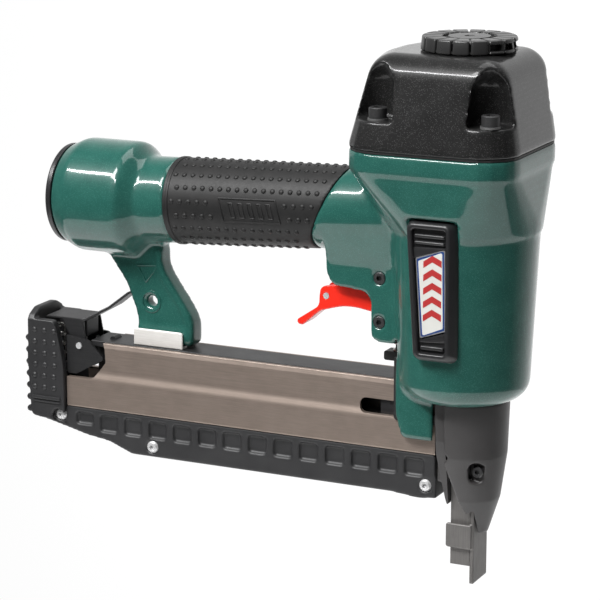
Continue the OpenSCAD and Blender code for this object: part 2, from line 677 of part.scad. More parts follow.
module nose_cover() color(plastic_black) difference() {
    intersection() {
        nose_round(0);
        side_plate([[cover_back_x + 0.1, housing_low_z, 0], [cover_back_x + 0.1, 60, 4], [9.8, 24, 1], [30, 20, 0],
            [30, housing_low_z, 0]], -25, 25);
    }
    difference() {
        nose_round(cover_wall);
        block(foot_front_x + 3, 30, -30, 30, 0, 44);
        both_sides() nose_well(nose_screw_r + 2.6, boss_y + 0.1, 30);
    }
    block(-20, foot_front_x + gap, -passage_half, passage_half, 50, 95);
    block(-20, foot_front_x + gap, -guide_half - 3, guide_half + 3, 0, 95);
    both_sides() {
        along_y(nose_screw_r + 0.2, 5, 30, nose_screw_x, nose_screw_z);
        nose_well(nose_screw_r + 1.9, screw_seat_y, 30);
    }
    both_sides() translate([cover_back_x, 17, 64]) rotate([0, 45, 0]) cube([3.4, 9, 3.4], center = true);
}

module nose_body() color(plastic_black) difference() {
    union() {
        side_plate([[strip_rear_x, housing_low_z, 0], [strip_rear_x + 1, 63.6, 15], [-4.4, 42, 5], [-3.6, 38.5, 1],
            [cover_back_x, 38.5, 0], [cover_back_x, housing_low_z, 0]], -nose_half, nose_half);
        block(strip_rear_x + 0.5, cover_back_x, -arm_in + gap, arm_in - gap, 50, floor_z);
        // Bridge in front of the foot's plate that the cover's screws go into
        intersection() {
            nose_round(cover_wall + 0.15);
            difference() {
                union() {
                    block(cover_back_x - eps, boss_back_x, -12.3, 12.3, nose_screw_z - 5, nose_screw_z + 5);
                    block(boss_back_x - eps, 20, -boss_y, boss_y, nose_screw_z - 5, nose_screw_z + 5);
                }
                block(-20, foot_front_x + gap, -foot_w / 2 - 0.6, foot_w / 2 + 0.6, 0, 95);
            }
        }
    }
    // Way in for the nails and the rail
    block(-20, 0, -3.6, 3.6, 44, rail_z - rail_head_t + 0.1);
    block(-20, 0, -rail_head_half - 0.2, rail_head_half + 0.2, rail_z - rail_head_t, rail_z + 5);
    both_sides() block(-20, 0, arm_in - gap, passage_half, arm_low_z - gap, housing_low_z + 6);
    both_sides() along_y(nose_screw_r, 4, 30, nose_screw_x, nose_screw_z);
}

module nose_screws() color(steel) both_sides()
    translate([nose_screw_x, screw_seat_y, nose_screw_z]) rotate([-90, 0, 0])
        socket_screw(nose_screw_r, 2.8, 1.8, 7, 1.25, 1.2);

module rear_nose_guide() color(dark_steel) difference() {
    block(guide_rear_x, guide_split_x, -guide_half, guide_half, guide_low_z, floor_z);
    block(-blade_t / 2 - 0.08, 5, -blade_w / 2 - 0.1, blade_w / 2 + 0.1, 0, floor_z + 1);
    block(-5, 0, -blade_w / 2 - 0.1, blade_w / 2 + 0.1, 50, rail_z - 1);
}

module front_nose_guide() color(dark_steel)
    block(guide_split_x, guide_front_x, -guide_half, guide_half, guide_low_z, floor_z);

// ---- magazine ----

module magazine_rail() color(coat_black) {
    section_bar([[-rail_head_half, rail_z - rail_head_t, 0.4], [rail_head_half, rail_z - rail_head_t, 0.4],
        [rail_head_half, rail_z, 0.4], [-rail_head_half, rail_z, 0.4]], rail_rear_x, rail_front_x);
    section_bar([[-rail_web_half, extrusion_low_z + 9, 0.4], [rail_web_half, extrusion_low_z + 9, 0.4],
        [rail_web_half, rail_z - rail_head_t + 0.1, 0], [-rail_web_half, rail_z - rail_head_t + 0.1, 0]],
        rail_rear_x, rail_front_x);
    // Stop bump near the rear end
    along_y(1.6, -3, 3, -189, rail_z - 0.1);
}

module leg_shoe() color(steel) {
    block(-174.5, -147, -6 - shoe_t, 6 + shoe_t, rail_z, rail_z + shoe_t);
    both_sides() side_plate([[-174.5, rail_z, 0], [-147, rail_z, 0], [-147, rail_z + 8.6, 1.6], [-174.5, rail_z + 8.6, 1.6]],
        6.1, 6.1 + shoe_t);
}

// Outer profile of the extrusion, right half, from the bottom to the lip
module magazine_body() color(bronze) {
    half = magazine_w / 2;
    floor = extrusion_low_z;
    difference() {
        section_bar([[-half, floor, 1], [half, floor, 1], [half, 77.6, 8], [upper_half, 82, 8], [upper_half, rail_z - 3, 2],
            [upper_half + 0.9, rail_z - 0.4, 0.3], [-upper_half - 0.9, rail_z - 0.4, 0.3], [-upper_half, rail_z - 3, 2],
            [-upper_half, 82, 8], [-half, 77.6, 8]], -magazine_reach, front_x);
        section_bar([[-channel_half, floor + 3, 1], [channel_half, floor + 3, 1], [channel_half, rail_z + 4, 0],
            [-channel_half, rail_z + 4, 0]], -magazine_reach - 1, front_x + 1);
        // Upper wall cut back at the rear
        side_plate([[-magazine_reach - 1, cutback_z, 0], [cutback_x - 6, cutback_z, 5], [cutback_x + 1, cutback_z + 9, 2],
            [cutback_x, rail_z + 3, 0], [-magazine_reach - 1, rail_z + 3, 0]], -20, 20);
        // Window that shows the nails
        both_sides() side_plate([[-49, 79, 3], [-17, 79, 3], [-17, 86.4, 3], [-49, 86.4, 3]], channel_half - 1, 20);
    }
}

base_top_z = extrusion_low_z - 0.2;
base_rear_x = cover_rear_x + 4;
// The first of the base's screws also holds the rear cover
cover_screw = [-215, 57.4];
module base_screw_places() {
    for (p = [cover_screw, [-162.4, 46.6], [-14.6, 46.8]]) translate([p.x, 0, p.y]) children();
}

module magazine_base() color(plastic_black) difference() {
    side_plate([[base_rear_x, base_top_z, 1], [base_rear_x, 55, 3], [-212, 51.3, 12], [-200, 48.4, 6], [-187, 46.6, 20],
        [-174, base_low_z, 10], [-32, base_low_z, 8], [-18, base_low_z - 1.4, 14],
        [-5.5, base_low_z + 0.2, 3], [-5.5, base_low_z + 8, 2], [front_x, base_low_z + 10, 2], [front_x, base_top_z, 1]],
        -base_half, base_half);
    both_sides() for (i = [0 : pocket_count - 1]) let (x = -206 + i * pocket_pitch, low = i == 0 ? 53.6 : 51)
        side_plate([[x, low, 1.4], [x + pocket_w, low, 1.4], [x + pocket_w, 60, 1.4], [x, 60, 1.4]], base_half - 1.8, 20);
    base_screw_places() {
        along_y(1.75, -20, 20, 0, 0);
        along_y(3.5, -20, -base_half + 1.4, 0, 0);
        along_y(3.6, base_half - 1.6, 20, 0, 0);
    }
    // Nose cheeks straddle the front end
    block(strip_rear_x - gap, 0, -20, 20, 36, base_low_z + 30);
}

module base_screws() color(steel) base_screw_places()
    translate([0, -base_half + 1.4, 0]) rotate([90, 0, 0])
        difference() {
            union() {
                translate([0, 0, -2 * base_half + 3.2]) cylinder(r = 1.7, h = 2 * base_half - 3.2 + eps);
                rotate_extrude() polygon([[0, 0], [3.2, 0], [3.1, 0.7], [2.3, 1.7], [0, 2]]);
            }
            translate([0, 0, 0.6]) cylinder(r = 1.25, h = 3, $fn = 6);
        }

module base_nuts() color(steel) base_screw_places()
    translate([0, base_half - 1.6, 0]) rotate([-90, 0, 0]) difference() {
        cylinder(r = 3.3, h = 1.5, $fn = 6);
        translate([0, 0, -1]) cylinder(r = 1.7, h = 5);
    }

module rear_cover() color(plastic_black) difference() {
    union() {
        side_plate([[cover_rear_x + 1.6, 56, 3], [cover_front_x, 54, 2], [cover_front_x, 84, 20], [cover_front_x - 3.6, 102, 3],
            [cover_front_x - 5.4, cover_side_z, 2], [cover_rear_x + 1, cover_side_z, 0], [cover_rear_x, 85, 40]],
            -cover_half, cover_half);
        // Hooded rear wall, rounder towards its top
        section_bar([[-cover_half, 80, 0], [cover_half, 80, 0], [cover_half, cover_top_z - 4, 5], [cover_half - 7, cover_top_z, 8],
            [-cover_half + 7, cover_top_z, 8], [-cover_half, cover_top_z - 4, 5]], cover_rear_x + 0.5, cover_rear_x + 4.4);
        // Grip ribs across the rear face
        for (z = [59 : 6.2 : 97]) along_y(1.8, -cover_half + 1, cover_half - 1, cover_rear_x + 0.2, z);
    }
    // Room for the base, the extrusion's end and the latch
    block(base_rear_x - 0.1, 0, -base_half - 0.1, base_half + 0.1, 40, base_top_z + 0.1);
    block(cover_rear_x + 4.4, 0, -channel_half - 1.2, channel_half + 1.2, base_top_z + 3, 140);
    along_y(1.75, -20, 20, cover_screw.x, cover_screw.y);
    along_y(3.6, base_half - 1, 20, cover_screw.x, cover_screw.y);
    along_y(3.6, -20, -base_half + 1, cover_screw.x, cover_screw.y);
}

ear_in = channel_half + 1.35;
ear_t = 1.3;
module latch_base() color(coat_black) difference() {
    union() {
        both_sides() side_plate([[cover_front_x, 79.5, 0], [-206, 79.5, 2], [cutback_x + 0.4, 88.6, 1.5], [-199, 97.6, 2],
            [cover_front_x, 99, 0]], ear_in - 1.2, ear_in + 0.1);
        both_sides() block(cover_front_x, -206, channel_half - 2, ear_in - 1.2 + eps, 79.5, 82);
    }
    along_y(latch_pin_r, -20, 20, latch_x, latch_z);
}

lever_half = channel_half - 0.1;
lever_t = 1.2;
module latch_lever() color(coat_black) difference() {
    union() {
        // Top plate, then the raised finger tab
        block(-224, -203, -lever_half, lever_half, lever_top_z, lever_top_z + lever_t);
        hull() {
            block(-203 - eps, -202, -lever_half, lever_half, lever_top_z, lever_top_z + lever_t);
            block(-190.6, -190, -4.4, lever_half, 113.4, 113.4 + lever_t);
        }
        hull() {
            block(-190.6, -190, -4.4, lever_half, 113.4, 113.4 + lever_t);
            block(-180.6, -180, -2.4, lever_half, 121.4, 121.4 + lever_t);
        }
        both_sides() side_plate([[-215, lever_top_z + 0.6, 0], [-203, lever_top_z + 0.6, 0], [-200.6, 94, 3],
            [-204, 90.6, 3], [-208, 94, 3]], lever_half - lever_t, lever_half);
        // Hook that drops over the rail's end
        block(-203.6, -202.4, -6, 6, rail_z + 0.4, lever_top_z + 0.5);
    }
    along_y(latch_pin_r + slip, -20, 20, latch_x, latch_z);
}

module latch_pins() color(steel) both_sides() {
    along_y(latch_pin_r, lever_half - lever_t - 0.6, ear_in + 0.1, latch_x, latch_z);
    along_y(latch_pin_r + 0.4, ear_in + 0.1, ear_in + 0.9, latch_x, latch_z);
}

module latch_spring() color(steel)
    translate([-222, 0, 0]) translate([0, 0, base_top_z + 4]) coil_rings(3, 0.5, lever_top_z - 0.2 - base_top_z - 4, 9);

pusher_front_x = -13;
pusher_l = 26;
module pusher() color([0.75, 0.62, 0.3]) difference() {
    section_bar([[-channel_half + 0.4, extrusion_low_z + 3.6, 1], [channel_half - 0.4, extrusion_low_z + 3.6, 1],
        [channel_half - 0.4, rail_z - rail_head_t - 0.4, 1], [-channel_half + 0.4, rail_z - rail_head_t - 0.4, 1]],
        pusher_front_x - pusher_l, pusher_front_x);
    block(-60, 0, -rail_web_half - gap, rail_web_half + gap, extrusion_low_z + 8.4, rail_z);
}

pusher_wire = 0.45;
spring_side_y = (channel_half + rail_web_half) / 2 + 0.15;
pusher_spring_r = (channel_half - rail_web_half) / 2 - 1.35;
module pusher_spring() color(steel) both_sides()
    translate([-magazine_reach - 0.4, spring_side_y, extrusion_low_z + 7.5]) rotate([0, 90, 0])
        coil_rings(pusher_spring_r, pusher_wire, magazine_reach + 0.3 + pusher_front_x - pusher_l, 26, $fn = 32);

body_casting();
cylinder_cap();
cap_gasket();
cap_screws();
cap_washers();
exhaust_deflector();
deflector_screw();
cylinder_sleeve();
sleeve_seals();
bumper();
piston();
piston_ring();
driver_blade();
head_valve();
head_valve_ring();
head_valve_spring();
badge_frame();
badge_plate();
grip_sleeve();
handle_end_cap();
end_cap_seal();
end_cap_screws();
inlet_bushing();
trigger();
trigger_pivot_screw();
trip_lever();
trip_pin();
valve_body();
valve_seals();
valve_stem();
valve_spring();
column_screw();
nose_body();
nose_cover();
nose_screws();
rear_nose_guide();
front_nose_guide();
contact_foot();
safety_linkage();
safety_spring();
magazine_rail();
leg_shoe();
magazine_body();
magazine_base();
base_screws();
base_nuts();
rear_cover();
latch_base();
latch_lever();
latch_pins();
latch_spring();
pusher();
pusher_spring();
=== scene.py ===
import math
import bmesh
import bpy
from mathutils import Matrix, Vector


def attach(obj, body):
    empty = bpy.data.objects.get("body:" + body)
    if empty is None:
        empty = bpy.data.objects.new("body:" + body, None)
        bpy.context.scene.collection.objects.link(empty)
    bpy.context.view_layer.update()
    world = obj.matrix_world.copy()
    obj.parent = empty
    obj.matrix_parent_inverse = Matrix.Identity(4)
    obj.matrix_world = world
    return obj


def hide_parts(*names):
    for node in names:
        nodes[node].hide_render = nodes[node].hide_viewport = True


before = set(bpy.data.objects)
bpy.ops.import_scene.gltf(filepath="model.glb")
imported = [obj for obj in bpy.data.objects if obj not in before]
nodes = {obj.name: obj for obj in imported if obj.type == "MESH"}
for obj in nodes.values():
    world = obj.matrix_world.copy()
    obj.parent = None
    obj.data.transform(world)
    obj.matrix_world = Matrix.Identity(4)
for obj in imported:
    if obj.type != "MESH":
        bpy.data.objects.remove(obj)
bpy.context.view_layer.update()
mm = 0.001


class Wire:
    def __init__(self, maker, socket):
        self.maker = maker
        self.socket = socket

    def calc(self, operation, first, second):
        return self.maker.node("ShaderNodeMath", {"operation": operation}, {0: first, 1: second})

    def __add__(self, other):
        return self.calc("ADD", self, other)

    def __rsub__(self, other):
        return self.calc("SUBTRACT", other, self)

    def __mul__(self, other):
        return self.calc("MULTIPLY", self, other)

    def __gt__(self, other):
        return self.calc("GREATER_THAN", self, other)

    def __lt__(self, other):
        return self.calc("LESS_THAN", self, other)

    __radd__ = __add__
    __rmul__ = __mul__


class Finish:
    # One material: plain numbers go straight onto the shader, patterns come in through node()
    def __init__(self, name, **constants):
        self.material = bpy.data.materials.new(name)
        self.material.use_nodes = True
        self.tree = self.material.node_tree
        self.shader = self.tree.nodes["Principled BSDF"]
        for key, value in constants.items():
            self.shader.inputs[key.replace("_", " ")].default_value = value

    def node(self, kind, settings=None, sockets=None, out=0):
        made = self.tree.nodes.new(kind)
        for key, value in (settings or {}).items():
            if key == "stops":
                ramp = made.color_ramp.elements
                while len(ramp) < len(value):
                    ramp.new(0.5)
                for element, (place, shade) in zip(ramp, value):
                    element.position = place
                    element.color = shade if isinstance(shade, tuple) else (shade, shade, shade, 1)
            else:
                setattr(made, key, value)
        for key, value in (sockets or {}).items():
            if isinstance(value, Wire):
                self.tree.links.new(value.socket, made.inputs[key])
            else:
                made.inputs[key].default_value = value
        return Wire(self, made.outputs[out])

    def feed(self, key, wire):
        self.tree.links.new(wire.socket, self.shader.inputs[key])

    # Object coordinates stretched along the axes; one unit is a metre before that
    def place(self, stretch=(1, 1, 1)):
        coords = self.node("ShaderNodeTexCoord", out="Object")
        return self.node("ShaderNodeMapping", {"vector_type": "POINT"}, {"Vector": coords, "Scale": stretch})

    def noise(self, size, detail=2, stretch=(1, 1, 1), rough=0.5):
        sockets = {"Vector": self.place(stretch), "Scale": 1 / size, "Detail": detail, "Roughness": rough}
        return self.node("ShaderNodeTexNoise", {"noise_dimensions": "3D"}, sockets)

    def cells(self, size, out="Distance"):
        return self.node("ShaderNodeTexVoronoi", {"feature": "F1"},
                         {"Vector": self.place(), "Scale": 1 / size}, out)

    def ramp(self, wire, *stops):
        return self.node("ShaderNodeValToRGB", {"stops": stops}, {0: wire})

    def mix(self, factor, first, second):
        return self.node("ShaderNodeMix", {"data_type": "RGBA"}, {0: factor, 6: first, 7: second}, 2)

    def bump(self, height, depth, strength=1.0):
        self.feed("Normal", self.node("ShaderNodeBump", None,
                                      {"Strength": strength, "Distance": depth, "Height": height}))


def rgb(red, green, blue):
    return (red, green, blue, 1.0)


# Powder coat: fine light flecks, slight mottling and the faint ripple of a thick glossy coat
def powderCoat(name, base, deep, fleck, fleckShare, gloss, shine):
    coat = Finish(name, Coat_Roughness=0.09, Coat_IOR=shine, IOR=1.5, Specular_IOR_Level=0.15)
    mottle = coat.ramp(coat.noise(9 * mm, 3), (0.3, 0.0), (0.7, 1.0))
    speck = coat.cells(0.34 * mm, out="Color")
    red = Wire(coat, coat.node("ShaderNodeSeparateColor", None, {0: speck}).socket)
    chosen = red > 1 - fleckShare
    near = coat.cells(0.34 * mm) < 0.36
    colour = coat.mix(mottle, base, deep)
    coat.feed("Base Color", coat.mix(chosen * near * 0.75, colour, fleck))
    coat.feed("Roughness", 0.30 + coat.noise(2.2 * mm, 2) * 0.12)
    coat.feed("Coat Weight", gloss + coat.noise(30 * mm, 2) * 0.06)
    coat.bump(coat.noise(1.1 * mm, 2) + coat.noise(3.5 * mm, 1) * 0.8, 0.035 * mm, 0.32)
    return coat.material


# Glass-filled nylon: fine grain, handled patches a little shinier
def mouldedPlastic(name, base, worn, roughness, grain=0.5):
    plastic = Finish(name, IOR=1.46)
    patches = plastic.ramp(plastic.noise(14 * mm, 3), (0.35, 0.0), (0.75, 1.0))
    plastic.feed("Base Color", plastic.mix(patches, base, worn))
    plastic.feed("Roughness", roughness - patches * 0.07 + plastic.noise(0.9 * mm, 2) * 0.06)
    texture = plastic.cells(grain * mm) + plastic.noise(0.35 * mm, 2) * 0.5
    plastic.bump(texture, 0.05 * mm, 0.45)
    return plastic.material


def softRubber(name, base, dusty):
    rubber = Finish(name, IOR=1.36, Sheen_Roughness=0.4)
    rubber.shader.inputs["Sheen Weight"].default_value = 0.05
    bloom = rubber.ramp(rubber.noise(7 * mm, 4), (0.4, 0.0), (0.8, 1.0))
    rubber.feed("Base Color", rubber.mix(bloom * 0.6, base, dusty))
    rubber.feed("Roughness", 0.46 + rubber.noise(1.6 * mm, 3) * 0.14)
    rubber.bump(rubber.noise(0.22 * mm, 3), 0.05 * mm, 0.5)
    return rubber.material


# Metal with fine lines along one axis: drawn, brushed or ground
def linedMetal(name, base, shade, roughness, lines, depth=0.02, metallic=1.0, speck=0.0):
    metal = Finish(name, Metallic=metallic, IOR=1.6)
    streak = metal.noise(0.5 * mm, 4, lines, 0.65)
    cloud = metal.noise(11 * mm, 3)
    shading = metal.ramp(streak * 0.6 + cloud * 0.4, (0.36, 0.0), (0.64, 1.0))
    metal.feed("Base Color", metal.mix(shading, base, shade))
    metal.feed("Roughness", roughness + streak * 0.12 + cloud * 0.08)
    metal.bump(streak + metal.noise(0.3 * mm, 2) * speck, depth * mm, 0.5)
    return metal.material


def springWire(name):
    wire = Finish(name, Metallic=1.0)
    tint = wire.ramp(wire.noise(3 * mm, 2), (0.4, rgb(0.46, 0.45, 0.43)), (0.7, rgb(0.62, 0.61, 0.59)))
    wire.feed("Base Color", tint)
    wire.feed("Roughness", 0.26 + wire.noise(0.6 * mm, 2) * 0.1)
    return wire.material


print("finishes")
alongX, alongZ, evenly = (0.04, 1, 1), (1, 1, 0.04), (1, 1, 1)
tealCoat = powderCoat("tealPowderCoat", rgb(0.016, 0.082, 0.066), rgb(0.011, 0.068, 0.055),
                      rgb(0.045, 0.165, 0.135), 0.35, 0.82, 1.5)
blackCoat = powderCoat("blackPowderCoat", rgb(0.014, 0.014, 0.014), rgb(0.010, 0.010, 0.010),
                       rgb(0.10, 0.10, 0.098), 0.22, 0.80, 1.27)
baseNylon = mouldedPlastic("magazineNylon", rgb(0.015, 0.015, 0.016), rgb(0.025, 0.025, 0.026), 0.50)
coverNylon = mouldedPlastic("rearCoverNylon", rgb(0.014, 0.014, 0.015), rgb(0.023, 0.023, 0.024), 0.46)
noseNylon = mouldedPlastic("noseNylon", rgb(0.036, 0.034, 0.034), rgb(0.046, 0.044, 0.044), 0.42)
satinBlack = mouldedPlastic("satinBlackPlastic", rgb(0.012, 0.012, 0.013),
                            rgb(0.018, 0.018, 0.019), 0.34, 0.35)
gripRubber = softRubber("gripRubber", rgb(0.009, 0.009, 0.009), rgb(0.017, 0.016, 0.016))
sealRubber = softRubber("sealRubber", rgb(0.012, 0.012, 0.012), rgb(0.022, 0.022, 0.022))
bronze = linedMetal("bronzeAnodised", rgb(0.290, 0.235, 0.200),
                    rgb(0.225, 0.180, 0.152), 0.36, alongX, 0.03, 0.72, 1.4)
nickel = linedMetal("nickelPlate", rgb(0.78, 0.76, 0.73),
                    rgb(0.64, 0.62, 0.59), 0.38, alongX, 0.05, 0.35, 2.0)
zinc = linedMetal("zincPlate", rgb(0.78, 0.78, 0.78), rgb(0.62, 0.62, 0.63), 0.28, evenly, 0.02, 0.6)
dullZinc = linedMetal("dullZinc", rgb(0.150, 0.150, 0.150),
                      rgb(0.100, 0.100, 0.100), 0.42, evenly, 0.05, 0.5, 1.0)
toolSteel = linedMetal("hardenedSteel", rgb(0.175, 0.168, 0.162),
                       rgb(0.125, 0.120, 0.116), 0.42, alongZ, 0.04, 0.6, 1.0)
blackSteel = linedMetal("blackOxideSteel", rgb(0.030, 0.030, 0.031),
                        rgb(0.020, 0.020, 0.021), 0.36, alongX, 0.03, 0.55, 1.0)
bright = linedMetal("turnedAluminium", rgb(0.80, 0.80, 0.81), rgb(0.66, 0.66, 0.67), 0.25, evenly)
brass = linedMetal("turnedBrass", rgb(0.72, 0.52, 0.22), rgb(0.58, 0.41, 0.17), 0.25, evenly)
spring = springWire("springWire")

crownPlastic = mouldedPlastic("crownPlastic", rgb(0.020, 0.020, 0.020),
                              rgb(0.028, 0.028, 0.028), 0.30, 0.35)
boltBlack = linedMetal("boltBlack", rgb(0.060, 0.060, 0.061),
                       rgb(0.042, 0.042, 0.043), 0.30, evenly, 0.02, 0.6, 0.6)


def glossPaint(name, base, shade, gloss):
    paint = Finish(name, Coat_Roughness=0.05, IOR=1.5)
    paint.feed("Base Color", paint.mix(paint.noise(6 * mm, 2), base, shade))
    paint.feed("Roughness", 0.28 + paint.noise(1.4 * mm, 2) * 0.08)
    paint.feed("Coat Weight", gloss + paint.noise(10 * mm, 2) * 0.1)
    paint.bump(paint.noise(0.8 * mm, 2), 0.03 * mm, 0.3)
    return paint.material


redPaint = glossPaint("redGloss", rgb(0.74, 0.022, 0.009), rgb(0.64, 0.016, 0.007), 0.35)
stickerFoil = linedMetal("stickerFoil", rgb(0.66, 0.66, 0.66), rgb(0.54, 0.54, 0.55), 0.30, alongX)
stickerBlue = glossPaint("stickerBlue", rgb(0.012, 0.045, 0.18), rgb(0.010, 0.038, 0.15), 0.2)
stickerWhite = glossPaint("stickerWhite", rgb(0.56, 0.56, 0.53), rgb(0.50, 0.50, 0.47), 0.2)
stickerRed = glossPaint("stickerRed", rgb(0.38, 0.030, 0.030), rgb(0.31, 0.024, 0.024), 0.2)


def newPiece(name, shape, body, material, stands=()):
    mesh = bpy.data.meshes.new(name)
    shape.to_mesh(mesh)
    shape.free()
    piece = bpy.data.objects.new(name, mesh)
    bpy.context.scene.collection.objects.link(piece)
    dress(piece, body, material, stands)
    return piece


def dress(piece, body, material, stands=()):
    piece.data.materials.clear()
    piece.data.materials.append(material)
    piece.data.shade_smooth()
    piece.data.set_sharp_from_angle(angle=0.75)
    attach(piece, body)
    if stands:
        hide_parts(*stands)


def settle(piece):
    # Applies every modifier of a piece
    view = bpy.context.evaluated_depsgraph_get()
    mesh = bpy.data.meshes.new_from_object(piece.evaluated_get(view))
    piece.modifiers.clear()
    piece.data = mesh


def carve(piece, cutters):
    # Takes closed shapes out of a piece, one after another
    for cutter in cutters:
        mesh = bpy.data.meshes.new("cutter")
        cutter.to_mesh(mesh)
        cutter.free()
        tool = bpy.data.objects.new("cutter", mesh)
        bpy.context.scene.collection.objects.link(tool)
        cut = piece.modifiers.new("cut", "BOOLEAN")
        cut.operation = "DIFFERENCE"
        cut.solver = "MANIFOLD"
        cut.object = tool
        settle(piece)
        bpy.data.objects.remove(tool)


def bevelSharp(shape, width, segments=2, angle=0.5):
    edges = [e for e in shape.edges if len(e.link_faces) == 2 and e.calc_face_angle(0) > angle]
    bmesh.ops.bevel(shape, geom=edges, offset=width, offset_type="OFFSET", affect="EDGES",
                    segments=segments, profile=0.5, material=-1, clamp_overlap=True)


# Block from low to high corner, with rounded edges
def roundedBlock(low, high, edge, segments=3):
    shape = bmesh.new()
    size = Vector(high) - Vector(low)
    middle = (Vector(high) + Vector(low)) / 2
    place = Matrix.Translation(middle * mm) @ Matrix.Diagonal((*(size * mm), 1))
    bmesh.ops.create_cube(shape, size=1, matrix=place)
    if edge:
        bevelSharp(shape, edge * mm, segments)
    return shape


# Side outline in X and Z made into a plate from y0 to y1
def sidePlate(points, y0, y1, edge=0.0, segments=2):
    shape = bmesh.new()
    corners = [shape.verts.new((x * mm, y0 * mm, z * mm)) for x, z in points]
    face = shape.faces.new(corners)
    grown = bmesh.ops.extrude_face_region(shape, geom=[face])
    moved = [v for v in grown["geom"] if isinstance(v, bmesh.types.BMVert)]
    bmesh.ops.translate(shape, verts=moved, vec=(0, (y1 - y0) * mm, 0))
    bmesh.ops.recalc_face_normals(shape, faces=shape.faces)
    if edge:
        bevelSharp(shape, edge * mm, segments)
    return shape


# Turned shape from (radius, height) points about +Z
def turned(profile, steps=64):
    shape = bmesh.new()
    line = [shape.verts.new((r * mm, 0, z * mm)) for r, z in profile]
    for first, second in zip(line, line[1:]):
        shape.edges.new((first, second))
    bmesh.ops.spin(shape, geom=shape.verts[:] + shape.edges[:], cent=(0, 0, 0), axis=(0, 0, 1),
                   angle=math.tau, steps=steps, use_merge=True)
    bmesh.ops.remove_doubles(shape, verts=shape.verts, dist=0.002 * mm)
    bmesh.ops.recalc_face_normals(shape, faces=shape.faces)
    return shape


def addTo(shape, other, place=None):
    # Adds a copy of another bmesh, moved by a matrix
    mesh = bpy.data.meshes.new("part")
    other.to_mesh(mesh)
    if place is not None:
        mesh.transform(place)
    shape.from_mesh(mesh)
    bpy.data.meshes.remove(mesh)


def addFreed(shape, other, place=None):
    addTo(shape, other, place)
    other.free()


# Copy of a CAD node whose sharp edges and junctions are eased as casting or moulding leaves them
def easedShape(nodeName, voxel, rounds, extras=()):
    shape = bmesh.new()
    shape.from_mesh(nodes[nodeName].data)
    for extra in extras:
        addTo(shape, extra)
        extra.free()
    bmesh.ops.remove_doubles(shape, verts=shape.verts, dist=0.002 * mm)
    mesh = bpy.data.meshes.new("eased")
    shape.to_mesh(mesh)
    shape.free()
    piece = bpy.data.objects.new("eased", mesh)
    bpy.context.scene.collection.objects.link(piece)
    remesh = piece.modifiers.new("remesh", "REMESH")
    remesh.mode = "VOXEL"
    remesh.voxel_size = voxel * mm
    remesh.adaptivity = 0.0
    smooth = piece.modifiers.new("smooth", "SMOOTH")
    smooth.factor = 0.5
    smooth.iterations = rounds
    settle(piece)
    shape = bmesh.new()
    shape.from_mesh(piece.data)
    bpy.data.objects.remove(piece)
    return shape


def domeShape(radius, height, sides=8):
    # Small round bump on z = 0, with its skirt just under the surface
    shape = bmesh.new()
    rings = []
    for share, level in ((1.0, -0.3), (0.96, 0.12), (0.62, 0.8)):
        rings.append([shape.verts.new((radius * share * mm * math.cos(math.tau * k / sides),
                                       radius * share * mm * math.sin(math.tau * k / sides),
                                       height * level * mm)) for k in range(sides)])
    tip = shape.verts.new((0, 0, height * mm))
    for low, high in zip(rings, rings[1:]):
        for k in range(sides):
            n = (k + 1) % sides
            shape.faces.new((low[k], low[n], high[n], high[k]))
    for k in range(sides):
        shape.faces.new((rings[-1][k], rings[-1][(k + 1) % sides], tip))
    return shape


def facing(point, outward):
    # Matrix that stands a shape's +Z along outward at a point in millimetres
    turn = Vector(outward).to_track_quat("Z", "Y").to_matrix().to_4x4()
    return Matrix.Translation(Vector(point) * mm) @ turn


def roundedOutline(corners, steps=5):
    # Corner points with radii (x, z, r) made into a smooth closed outline
    outline = []
    count = len(corners)
    for k in range(count):
        before, here, after = (Vector(corners[(k + j) % count][:2]) for j in (-1, 0, 1))
        radius = corners[k][2]
        if radius <= 0:
            outline.append(here)
            continue
        back, ahead = (before - here).normalized(), (after - here).normalized()
        half = back.angle(ahead) / 2
        start, end = here + back * radius / math.tan(half), here + ahead * radius / math.tan(half)
        centre = here + (back + ahead).normalized() * radius / math.sin(half)
        for n in range(steps + 1):
            blend = (start - centre) * (1 - n / steps) + (end - centre) * n / steps
            outline.append(centre + blend.normalized() * radius)
    return outline


def loftedRings(rings):
    # Rings are lists of 3-D points in millimetres, all as long; both ends are closed
    shape = bmesh.new()
    loops = [[shape.verts.new(Vector(p) * mm) for p in ring] for ring in rings]
    for low, high in zip(loops, loops[1:]):
        for k in range(len(low)):
            n = (k + 1) % len(low)
            shape.faces.new((low[k], low[n], high[n], high[k]))
    shape.faces.new(loops[0])
    shape.faces.new(loops[-1])
    bmesh.ops.recalc_face_normals(shape, faces=shape.faces)
    return shape


castingLook = {"voxel": 1.22, "rounds": 7,
               "rimWidth": 2.6, "rimProud": 1.3,        # raised front edge of the leg
               "triangle": [(-173.4, 137.6), (-161.9, 138.7), (-168.6, 129.7)],
               "ringAt": (-166.0, 119.7), "ringRadius": 5.1,
               # room for the safety linkage and its lift: low and high corners, then the rod
               "linkage": [((-30.6, -14.4, 97.0), (-24.0, -12.0, 117.0)),
                           ((-30.6, 12.0, 97.0), (-24.0, 14.4, 117.0)),
                           ((-30.6, -14.4, 103.0), (-27.1, 14.4, 117.0)),
                           ((-40.4, -3.9, 103.0), (-27.1, 3.9, 117.0))],
               "rodAt": -33.0, "rodRadius": 2.5, "rodSpan": (103.0, 139.4)}


